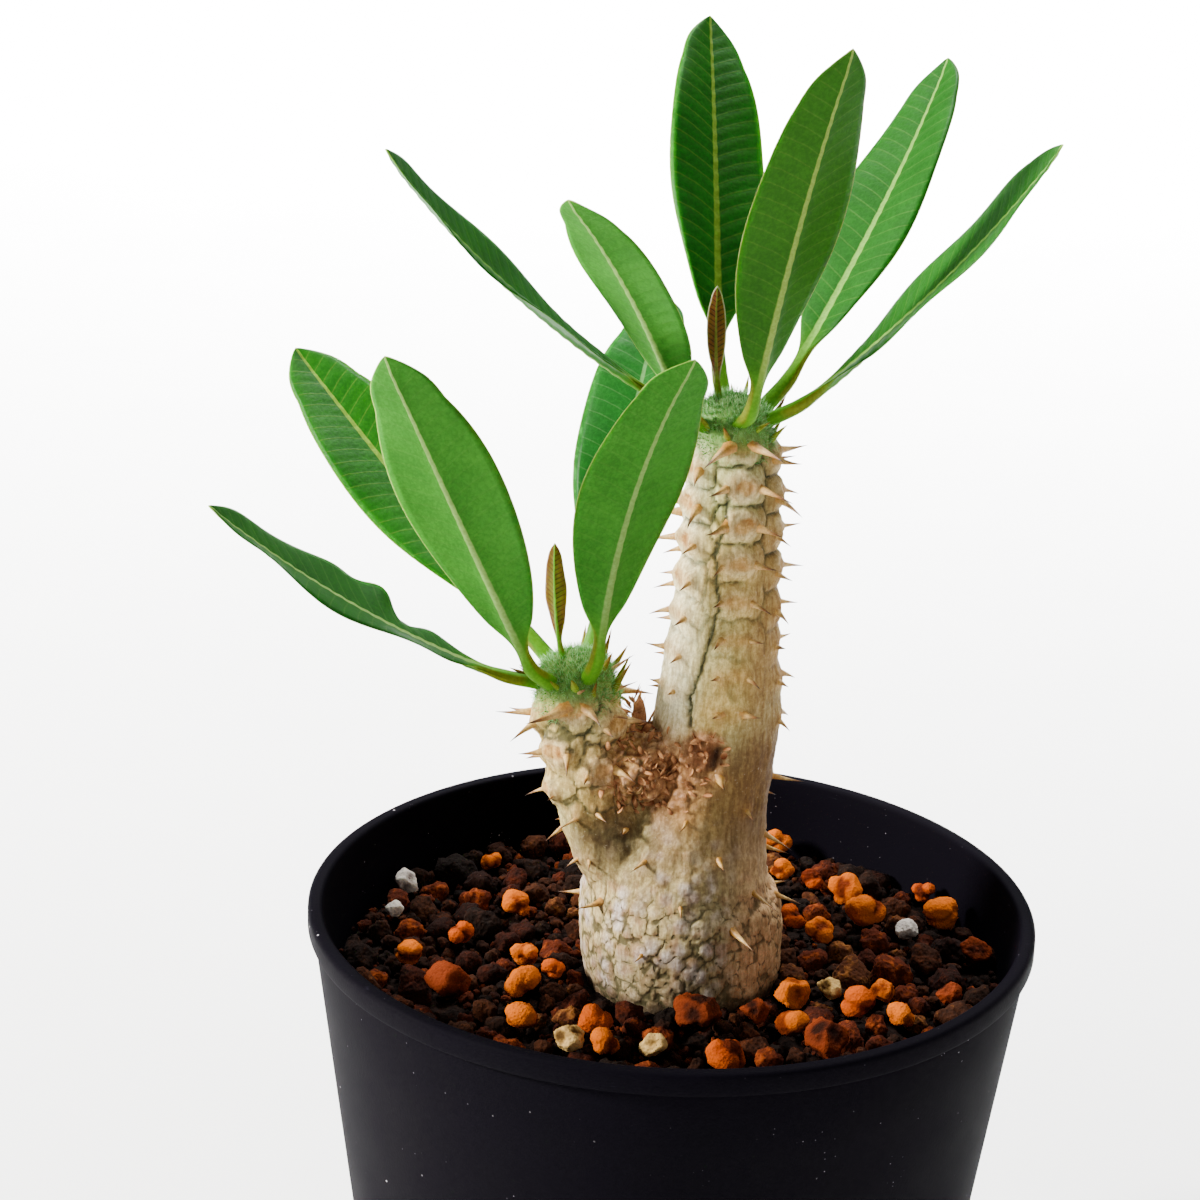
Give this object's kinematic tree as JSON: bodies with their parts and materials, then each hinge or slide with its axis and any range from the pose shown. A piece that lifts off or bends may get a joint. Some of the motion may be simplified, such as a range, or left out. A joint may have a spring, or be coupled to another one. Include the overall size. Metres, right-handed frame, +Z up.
{
  "type": "potted pachypodium",
  "caption": "Young two-branched caudex plant with paired spines and a tuft of oblong leaves on each branch, in a round tapered black pot of gritty potting mix.",
  "frame": {"origin": "centre of the pot's base, on the surface that the pot stands on", "axes": "+Z up, along the pot's axis; +X to the right and -Y towards the viewer who sees the low branch on the left and the tall one on the right"},
  "size_m": [0.0989, 0.09, 0.1863],
  "materials": {
    "pot_plastic": "matt black plastic with a faint violet cast and dust",
    "potting_mix": "dark red-brown baked clay grit, damp",
    "bark": "cream and silver-grey bark with green cracks and tan spines",
    "leaf": "mid-green, satin above and matt below, pale midrib",
    "young_leaf": "bronze-brown to green, downy",
    "orange_pellet": "bright orange fertiliser pellets, matt",
    "straw_pellet": "straw-coloured grit, matt",
    "white_pellet": "off-white pumice, matt",
    "brown_lump": "red-brown clay lumps, matt"
  },
  "bodies": {
    "root": {"brown_lump_1": "brown_lump", "brown_lump_2": "brown_lump", "brown_lump_3": "brown_lump", "brown_lump_4": "brown_lump", "brown_lump_5": "brown_lump", "brown_lump_6": "brown_lump", "caudex": "bark", "lower_leaf_back_left": "leaf", "lower_leaf_back_right": "leaf", "lower_leaf_front_left": "leaf", "lower_leaf_front_right": "leaf", "lower_leaf_left": "leaf", "lower_young_leaf": "young_leaf", "orange_pellet_1": "orange_pellet", "orange_pellet_10": "orange_pellet", "orange_pellet_11": "orange_pellet", "orange_pellet_12": "orange_pellet", "orange_pellet_13": "orange_pellet", "orange_pellet_14": "orange_pellet", "orange_pellet_15": "orange_pellet", "orange_pellet_16": "orange_pellet", "orange_pellet_17": "orange_pellet", "orange_pellet_18": "orange_pellet", "orange_pellet_19": "orange_pellet", "orange_pellet_2": "orange_pellet", "orange_pellet_20": "orange_pellet", "orange_pellet_21": "orange_pellet", "orange_pellet_22": "orange_pellet", "orange_pellet_23": "orange_pellet", "orange_pellet_24": "orange_pellet", "orange_pellet_25": "orange_pellet", "orange_pellet_3": "orange_pellet", "orange_pellet_4": "orange_pellet", "orange_pellet_5": "orange_pellet", "orange_pellet_6": "orange_pellet", "orange_pellet_7": "orange_pellet", "orange_pellet_8": "orange_pellet", "orange_pellet_9": "orange_pellet", "pot": "pot_plastic", "potting_mix": "potting_mix", "straw_pellet_1": "straw_pellet", "straw_pellet_2": "straw_pellet", "straw_pellet_3": "straw_pellet", "upper_leaf_back": "leaf", "upper_leaf_back_right": "leaf", "upper_leaf_front": "leaf", "upper_leaf_front_left": "leaf", "upper_leaf_left": "leaf", "upper_leaf_right": "leaf", "upper_young_leaf": "young_leaf", "white_pellet_1": "white_pellet", "white_pellet_2": "white_pellet", "white_pellet_3": "white_pellet"}
  },
  "joints": []
}
